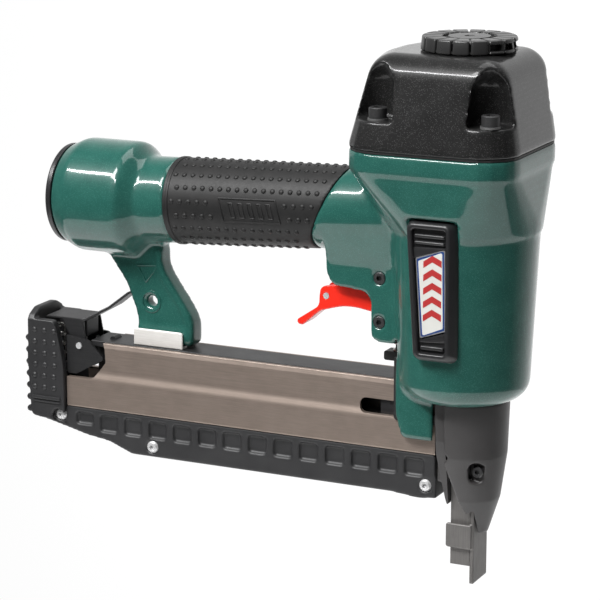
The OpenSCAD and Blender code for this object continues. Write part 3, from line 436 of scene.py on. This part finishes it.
def makeCasting():
    edge = [(-142.7, 99.4), (-142.6, 106.0), (-143.2, 111.6), (-145.6, 117.4), (-149.8, 123.6),
            (-154.4, 129.8), (-158.0, 135.4), (-159.6, 140.6), (-159.4, 146.0)]
    width = castingLook["rimWidth"]
    inner = [(x - width, z - width * 0.4) for x, z in reversed(edge)]
    y = 4.5 + castingLook["rimProud"]
    rim = sidePlate(edge + inner, -y, y)
    shape = easedShape("body_casting", castingLook["voxel"], castingLook["rounds"], [rim])
    casting = newPiece("castingShell", shape, "tool_body", tealCoat, ["body_casting"])
    low, high = castingLook["rodSpan"]
    radius = castingLook["rodRadius"]
    rod = turned([(0, low), (radius, low), (radius, high), (0, high)], 32)
    bmesh.ops.translate(rod, verts=rod.verts, vec=(castingLook["rodAt"] * mm, 0, 0))
    carve(casting, [roundedBlock(*corners, 0) for corners in castingLook["linkage"]] + [rod])
    dress(casting, "tool_body", tealCoat)


def makeLegMarks():
    # Cast-in triangle and ring on both faces of the leg
    shape = bmesh.new()
    for side in (-1, 1):
        corners = [Vector((x, 0, z)) for x, z in castingLook["triangle"]]
        for k in range(3):
            start, end = corners[k], corners[(k + 1) % 3]
            along = (end - start).normalized()
            bar = roundedBlock((-0.45, -0.55, -0.4), (0.45, 0.45, (end - start).length + 0.4), 0.35, 2)
            turn = along.to_track_quat("Z", "Y").to_matrix().to_4x4()
            addTo(shape, bar, Matrix.Translation((start + Vector((0, side * 4.5, 0))) * mm) @ turn)
            bar.free()
        radius = castingLook["ringRadius"]
        ring = turned([(radius - 0.8, -0.4), (radius - 0.55, 0.3), (radius, 0.5), (radius + 0.55, 0.3),
                       (radius + 0.8, -0.4), (radius - 0.8, -0.4)], 48)
        x, z = castingLook["ringAt"]
        addTo(shape, ring, facing((x, side * 4.5, z), (0, side, 0)))
        ring.free()
    newPiece("legMarks", shape, "tool_body", tealCoat)


makeCasting()
makeLegMarks()
print("casting")


capLook = {"voxel": 0.8, "rounds": 12}


def makeCap():
    shape = easedShape("cylinder_cap", capLook["voxel"], capLook["rounds"])
    newPiece("capShell", shape, "tool_body", blackCoat, ["cylinder_cap"])


makeCap()
print("cap")


crown = {"low": 254.8, "height": 6.6, "radius": 22.5, "pads": 16, "slot": 0.8,
         "open": (-2, -1, 0, 1, 2), "edge": 1.05}


def padShape(radii, levels, share=1.0):
    # Rounded block bent round the axis, about one pad wide
    sweep = math.tau / crown["pads"] - crown["slot"] / crown["radius"]
    sweep *= share
    steps = 6
    rings = []
    inner, outer = radii
    low, high = levels
    for k in range(steps + 1):
        a = sweep * (k / steps - 0.5)
        lean = 0.7 if high > 5 else 0.0         # the wall leans in towards the top
        section = [(inner, low), (outer, low), (outer - lean, high), (inner, high)]
        rings.append([(r * math.cos(a), r * math.sin(a), z) for r, z in section])
    shape = loftedRings(rings)
    bevelSharp(shape, crown["edge"] * mm, 3, 0.7)
    return shape


def makeCrown():
    low, top, radius = crown["low"], crown["height"], crown["radius"]
    shape = turned([(3.2, 0.2), (radius - 1.6, 0.2), (radius - 1.0, 0.7), (radius - 1.0, 1.5),
                    (radius - 3.4, 1.6),
                    (radius - 3.4, top - 1.9), (radius - 1.9, top - 1.6), (radius - 2.1, top - 1.0),
                    (14.0, top - 0.8), (13.2, top - 1.3), (10.8, top - 1.3), (10.3, top - 2.4),
                    (3.2, top - 2.4), (3.2, 0.2)], 96)
    for k in range(crown["pads"]):
        if k in [n % crown["pads"] for n in crown["open"]]:
            parts = [padShape((12.5, radius), (top - 2.0, top)), padShape((radius - 3, radius), (0.1, 1.6)),
                     padShape((radius - 3.2, radius - 0.9), (1.2, top - 1.4), 0.30)]
            shifts = [0, 0, -0.5]
        else:
            parts = [padShape((12.5, radius), (0.1, top))]
            shifts = [0]
        for part, shift in zip(parts, shifts):
            turn = Matrix.Rotation(math.tau * (k + 0.5 + shift) / crown["pads"], 4, "Z")
            addTo(shape, part, turn)
            part.free()
    bmesh.ops.translate(shape, verts=shape.verts, vec=(0, 0, low * mm))
    newPiece("exhaustCrown", shape, "deflector", crownPlastic, ["exhaust_deflector"])


makeCrown()
print("crown")


badge = {"face": -32.4,                # where the frame stands on the casting
         "proud": 4.9, "edge": 3.2,
         "foot": (-15.6, 9.2, 114.5, 180.6),       # left, right, low, high
         "top": (-14.4, 6.3, 116.6, 178.9), "floor": (-12.5, 4.6, 118.6, 177.0),
         "ribs": [(172.6, 174.4, -11.4, 3.6), (169.6, 171.2, -11.4, 3.6), (120.2, 122.2, -8.0, 3.8)],
         "steps": [[(-11.9, 162.8), (-11.9, 168.0), (4.2, 168.6), (4.2, 167.9)],
                   [(-8.6, 124.6), (4.4, 129.0), (4.4, 124.4), (-8.2, 123.6)]],
         "marks": 5, "firstMark": 133.6, "markPitch": 6.3,
         "lean": 4.0,                  # how far the left side leans in towards the bottom
         "sticker": [(-10.5, 163.2), (3.9, 168.0), (4.6, 129.9), (-8.0, 125.6)]}


def badgeRing(box, inset, depth, radius):
    left, right, low, high = box
    lean = badge["lean"]
    corners = [(left + inset, high - inset, radius), (right - inset, high - inset, radius),
               (right - inset, low + inset, radius), (left + inset + lean, low + inset, radius)]
    return [(p.x, badge["face"] - depth, p.y) for p in roundedOutline(corners)]


def makeBadge():
    proud, edge = badge["proud"], badge["edge"]
    foot, top, floor = badge["foot"], badge["top"], badge["floor"]
    shape = loftedRings([badgeRing(foot, 0, -0.6, edge), badgeRing(foot, 0, 0.8, edge),
                         badgeRing(top, -0.9, proud - 1.5, edge), badgeRing(top, -0.4, proud - 0.6, edge),
                         badgeRing(top, 0.1, proud - 0.12, edge - 0.3),
                         badgeRing(top, 0.7, proud, edge - 0.5),
                         badgeRing(floor, -0.6, proud, 1.9), badgeRing(floor, -0.15, proud - 0.25, 1.6),
                         badgeRing(floor, 0.1, proud - 0.9, 1.5), badgeRing(floor, 0.3, proud - 2.4, 1.3)])
    face = badge["face"] - proud + 2.4
    # Ribs and sloped steps on the sunk floor, above and below the sticker
    for low, high, left, right in badge["ribs"]:
        addFreed(shape, roundedBlock((left, face - 1.3, low), (right, face + 0.4, high), 0.7, 3))
    for step in badge["steps"]:
        addFreed(shape, sidePlate(step, face - 1.0, face + 0.3, 0.4, 2))
    newPiece("badgeFrame", shape, "tool_body", satinBlack, ["badge_frame"])

    def sticker(name, inset, lift, material, *stands):
        outline = [Vector(p) for p in badge["sticker"]]
        middle = sum(outline, Vector((0, 0))) / 4
        points = []
        for p in outline:
            step = middle - p
            points.append((p.x + math.copysign(inset, step.x), p.y + math.copysign(inset, step.y)))
        ring = [(p.x, p.y) for p in roundedOutline([(x, z, 0.7) for x, z in points])]
        shape = sidePlate(ring, face - 1.0 - lift, face + 0.2)
        newPiece(name, shape, "tool_body", material, stands)

    sticker("stickerFoil", 0.0, 0.0, stickerFoil, "badge_plate")
    sticker("stickerBorder", 0.55, 0.08, stickerBlue)
    sticker("stickerField", 1.3, 0.14, stickerWhite)
    marks = bmesh.new()
    for k in range(badge["marks"]):
        z = badge["firstMark"] + k * badge["markPitch"]      # plain chevrons
        points = [(-6.6, z), (-2.2, z + 3.0), (2.4, z + 0.8),
                  (2.4, z + 3.9), (-2.2, z + 6.1), (-6.6, z + 3.1)]
        addFreed(marks, sidePlate(points, face - 1.2, face - 1.0))
    newPiece("stickerMarks", marks, "tool_body", stickerRed)


makeBadge()
print("badge")


grip = {"origin": (-166, 0, 170.9), "tilt": 2.6, "rearRadius": 21.2, "slope": -0.01319, "rear": 16.0,
        "firstRow": 114.0, "rowStep": 18.95, "rows": 19, "pitch": 4.65, "bump": 1.42, "bumpHeight": 0.62,
        "panel": (46.5, 76.5, 164.0, 195.5)}


def gripPoint(along, degrees, lift=0.0):
    # Point and outward direction on the sleeve; 90 is the top, 180 faces -Y
    tilt, a = math.radians(grip["tilt"]), math.radians(degrees)
    axis = Vector((math.cos(tilt), 0, math.sin(tilt)))
    up = Vector((-math.sin(tilt), 0, math.cos(tilt)))
    outward = Vector((0, 1, 0)) * math.cos(a) + up * math.sin(a)
    radius = grip["rearRadius"] + grip["slope"] * (along - grip["rear"]) + lift
    return Vector(grip["origin"]) + axis * along + outward * radius, outward


def frontEdge(z):
    # The sleeve's slanted front end
    return -73 + max(0, z - 161) * 23 / 52


def ridge(path, width, height):
    # Low rounded bead along a closed path of (along, degrees) points
    sections = []
    for k, (along, degrees) in enumerate(path):
        here, outward = gripPoint(along, degrees)
        after, _ = gripPoint(*path[(k + 1) % len(path)])
        before, _ = gripPoint(*path[k - 1])
        side = (after - before).normalized().cross(outward)
        sections.append([here + side * width * s + outward * h for s, h in
                         ((-0.5, -0.3), (-0.4, height * 0.6), (0, height), (0.4, height * 0.6), (0.5, -0.3))])
    shape = bmesh.new()
    loops = [[shape.verts.new(p * mm) for p in section] for section in sections]
    for k, low in enumerate(loops):
        high = loops[(k + 1) % len(loops)]
        for n in range(5):
            shape.faces.new((low[n], low[(n + 1) % 5], high[(n + 1) % 5], high[n]))
    bmesh.ops.recalc_face_normals(shape, faces=shape.faces)
    return shape


def pathBetween(corners, steps=10):
    path = []
    for k, (along, degrees) in enumerate(corners):
        nextAlong, nextDegrees = corners[(k + 1) % len(corners)]
        for n in range(steps):
            t = n / steps
            path.append((along + (nextAlong - along) * t, degrees + (nextDegrees - degrees) * t))
    return path


def makeGrip():
    shape = easedShape("grip_sleeve", 0.75, 5)
    newPiece("gripSleeve", shape, "tool_body", gripRubber, ["grip_sleeve"])
    bumps = bmesh.new()
    dome = domeShape(grip["bump"], grip["bumpHeight"])
    left, right, high, low = grip["panel"]
    for row in range(grip["rows"]):
        degrees = grip["firstRow"] + grip["rowStep"] * (row - 9)
        along = grip["rear"] + 5.0 + (row % 2) * grip["pitch"] / 2
        while along < 108:
            point, outward = gripPoint(along, degrees)
            onPanel = left - 3.5 < along < right + 4 and high - 2 < degrees % 360 < low + 2
            if point.x < frontEdge(point.z) - 4.2 and not onPanel:
                addTo(bumps, dome, facing(point, outward))
            along += grip["pitch"]
    dome.free()
    # Plain raised panel with slanted ribs, and the bead at the rear end
    lean = 2.4
    border = [(left, high), (right, high), (right + lean, low), (left + lean, low)]
    addFreed(bumps, ridge(pathBetween(border), 1.0, 0.5))
    for k in range(5):
        at = left + 5.0 + k * 5.0
        corners = [(at, high + 6), (at + 2.2, high + 6), (at + 3.8, low - 6), (at + 1.6, low - 6)]
        addFreed(bumps, ridge(pathBetween(corners, 4), 0.8, 0.4))
    for at in (grip["rear"] + 0.9, grip["rear"] + 2.2):
        addFreed(bumps, ridge([(at, k * 7.5) for k in range(48)], 1.7, 0.55))
    newPiece("gripBumps", bumps, "tool_body", gripRubber)


makeGrip()
print("grip")


rearCover = {"voxel": 0.55, "rounds": 5, "columns": (-227.6, -222.0, -216.5),
             "rows": (101.2, 95.2, 89.2, 83.2, 77.4, 71.4), "bump": 1.5, "bumpHeight": 0.75}


def makeRearCover():
    shape = easedShape("rear_cover", rearCover["voxel"], rearCover["rounds"])
    newPiece("rearCover", shape, "magazine", coverNylon, ["rear_cover"])
    bumps = bmesh.new()
    dome = domeShape(rearCover["bump"], rearCover["bumpHeight"], 12)
    for side in (-1, 1):
        for row in rearCover["rows"]:
            for column in rearCover["columns"]:
                shift = -0.5 if row < 80 else 0.0
                addTo(bumps, dome, facing((column + shift, side * 14.95, row), (0, side, 0)))
        bar = (-229.4, -213.4)
        edge = sorted((side * 14.6, side * 15.7))
        addFreed(bumps, roundedBlock((bar[0], edge[0], 65.2), (bar[1], edge[1], 66.9), 0.4, 2))
        addFreed(bumps, roundedBlock((bar[0], edge[0], 63.6), (bar[1], edge[1], 64.3), 0.3, 2))
    dome.free()
    newPiece("rearCoverBumps", bumps, "magazine", coverNylon)


makeRearCover()
print("rear cover")


easedPieces = [
    # node, name, body, voxel, rounds, material, slot
    ("magazine_base", "magazineBase", "magazine", 0.7, 5, baseNylon, "black_plastic"),
    ("nose_cover", "noseCover", "tool_body", 0.5, 6, noseNylon, "black_plastic"),
    ("nose_body", "noseBody", "tool_body", 0.55, 5, noseNylon, "black_plastic"),
    ("trigger", "triggerLever", "trigger", 0.45, 5, redPaint, "red_plastic"),
    ("contact_foot", "contactFoot", "safety", 0.35, 4, toolSteel, "tool_steel"),
    ("latch_lever", "latchLever", "latch", 0.33, 3, blackSteel, "black_steel"),
    ("leg_shoe", "legShoe", "tool_body", 0.4, 3, nickel, "zinc_steel"),
]

def narrowed(shape, top=71.0, slope=0.16, widest=16.0):
    # The strip behind the nose gets narrower downwards, as the cover does
    for vert in shape.verts:
        z = vert.co.z / mm
        limit = (widest - max(0, top - z) * slope) * mm
        if abs(vert.co.y) > limit:
            vert.co.y = math.copysign(limit, vert.co.y)
    return shape


for node, name, body, voxel, rounds, material, slot in easedPieces:
    shape = easedShape(node, voxel, rounds)
    if node == "nose_body":
        shape = narrowed(shape)
    newPiece(name, shape, body, material, [node])
print("eased pieces")

# The magazine's long springs, the same shape with fewer faces
springLook = {"share": 0.45}


def makePusherSpring():
    shape = bmesh.new()
    shape.from_mesh(nodes["pusher_spring"].data)
    bmesh.ops.remove_doubles(shape, verts=shape.verts, dist=0.002 * mm)
    piece = newPiece("pusherSpring", shape, "magazine", spring, ["pusher_spring"])
    fewer = piece.modifiers.new("fewer", "DECIMATE")
    fewer.ratio = springLook["share"]
    settle(piece)


makePusherSpring()
print("pusher spring")


nodeFinish = [
    (dullZinc, ["deflector_screw", "cap_washers"]),
    (zinc, ["base_screws", "base_nuts", "latch_pins", "end_cap_screws",
            "trip_pin", "trip_lever"]),
    (boltBlack, ["cap_screws", "trigger_pivot_screw", "column_screw", "nose_screws"]),
    (blackSteel, ["latch_base", "magazine_rail", "safety_linkage"]),
    (toolSteel, ["driver_blade", "rear_nose_guide", "front_nose_guide", "valve_stem"]),
    (spring, ["head_valve_spring", "valve_spring", "safety_spring", "latch_spring"]),
    (bright, ["cylinder_sleeve", "piston"]),
    (bronze, ["magazine_body"]),
    (satinBlack, ["handle_end_cap", "head_valve", "pusher"]),
    (sealRubber, ["sleeve_seals", "bumper", "piston_ring", "head_valve_ring", "end_cap_seal", "valve_seals",
                  "cap_gasket"]),
    (brass, ["inlet_bushing", "valve_body"]),
]
for material, names in nodeFinish:
    for name in names:
        nodes[name].data.materials.clear()
        nodes[name].data.materials.append(material)
print("node finishes")


studio = {"floorLevel": -0.42, "floorRadius": 0.95, "floorGlow": 0.5,      # metres
          "skyFront": 0.06, "skyBack": 1.1, "frontwards": (0.15, -0.975, 0.16), "fade": (0.0, 0.42)}


def makeStage():
    shape = bmesh.new()
    bmesh.ops.create_circle(shape, cap_ends=True, radius=studio["floorRadius"], segments=96,
                            matrix=Matrix.Translation((0, 0, studio["floorLevel"])))
    mesh = bpy.data.meshes.new("floor")
    shape.to_mesh(mesh)
    shape.free()
    floor = bpy.data.objects.new("floor", mesh)
    bpy.context.scene.collection.objects.link(floor)
    pale = Finish("paleFloor", Roughness=0.9, Emission_Strength=studio["floorGlow"])
    pale.shader.inputs["Emission Color"].default_value = rgb(1, 1, 1)
    pale.shader.inputs["Base Color"].default_value = rgb(0.93, 0.93, 0.93)
    mesh.materials.append(pale.material)

    world = bpy.data.worlds.new("studio")
    bpy.context.scene.world = world
    world.use_nodes = True
    tree = world.node_tree
    background = tree.nodes["Background"]
    coords = tree.nodes.new("ShaderNodeTexCoord")
    dot = tree.nodes.new("ShaderNodeVectorMath")
    dot.operation = "DOT_PRODUCT"
    dot.inputs[1].default_value = studio["frontwards"]
    ramp = tree.nodes.new("ShaderNodeValToRGB")
    ramp.color_ramp.elements[0].position = studio["fade"][0]
    ramp.color_ramp.elements[0].color = rgb(*[studio["skyBack"]] * 3)
    ramp.color_ramp.elements[1].position = studio["fade"][1]
    ramp.color_ramp.elements[1].color = rgb(*[studio["skyFront"]] * 3)
    half = tree.nodes.new("ShaderNodeMath")
    half.operation = "MULTIPLY_ADD"
    half.inputs[1].default_value = 0.5
    half.inputs[2].default_value = 0.5
    tree.links.new(coords.outputs["Generated"], dot.inputs[0])
    tree.links.new(dot.outputs["Value"], half.inputs[0])
    tree.links.new(half.outputs[0], ramp.inputs[0])
    tree.links.new(ramp.outputs[0], background.inputs["Color"])
    background.inputs["Strength"].default_value = 1.0
    bpy.context.scene.view_settings.view_transform = "Standard"


lamps = {
    "stripLamp": {"at": (-0.50, -0.80, 1.10), "aim": (-0.12, 0, 0.17), "size": (1.5, 0.08), "watts": 28},
    "keyLamp": {"at": (-0.45, -1.00, 1.70), "aim": (-0.02, 0, 0.16), "size": (0.6, 0.6), "watts": 26},
    "topLamp": {"at": (0.1, 0.3, 1.5), "aim": (0, 0, 0.2), "size": (0.9, 0.9), "watts": 8},
}


def makeLamps():
    for name, lamp in lamps.items():
        light = bpy.data.lights.new(name, "AREA")
        light.shape = "RECTANGLE"
        light.size, light.size_y = lamp["size"]
        light.energy = lamp["watts"]
        piece = bpy.data.objects.new(name, light)
        bpy.context.scene.collection.objects.link(piece)
        piece.location = lamp["at"]
        aim = Vector(lamp["aim"]) - Vector(lamp["at"])
        piece.rotation_euler = aim.to_track_quat("-Z", "Y").to_euler()


viewpoint = {"at": (0.4211, -1.0633, 0.4106), "tilt": 76.5, "turn": 25.5, "lens": 150.0, "sensor": 36.0}


def makeCamera():
    lens = bpy.data.cameras.new("camera")
    lens.lens = viewpoint["lens"]
    lens.sensor_width = viewpoint["sensor"]
    camera = bpy.data.objects.new("camera", lens)
    bpy.context.scene.collection.objects.link(camera)
    camera.location = viewpoint["at"]
    camera.rotation_euler = (math.radians(viewpoint["tilt"]), 0, math.radians(viewpoint["turn"]))
    bpy.context.scene.camera = camera


makeStage()
makeLamps()
makeCamera()
print("stage")
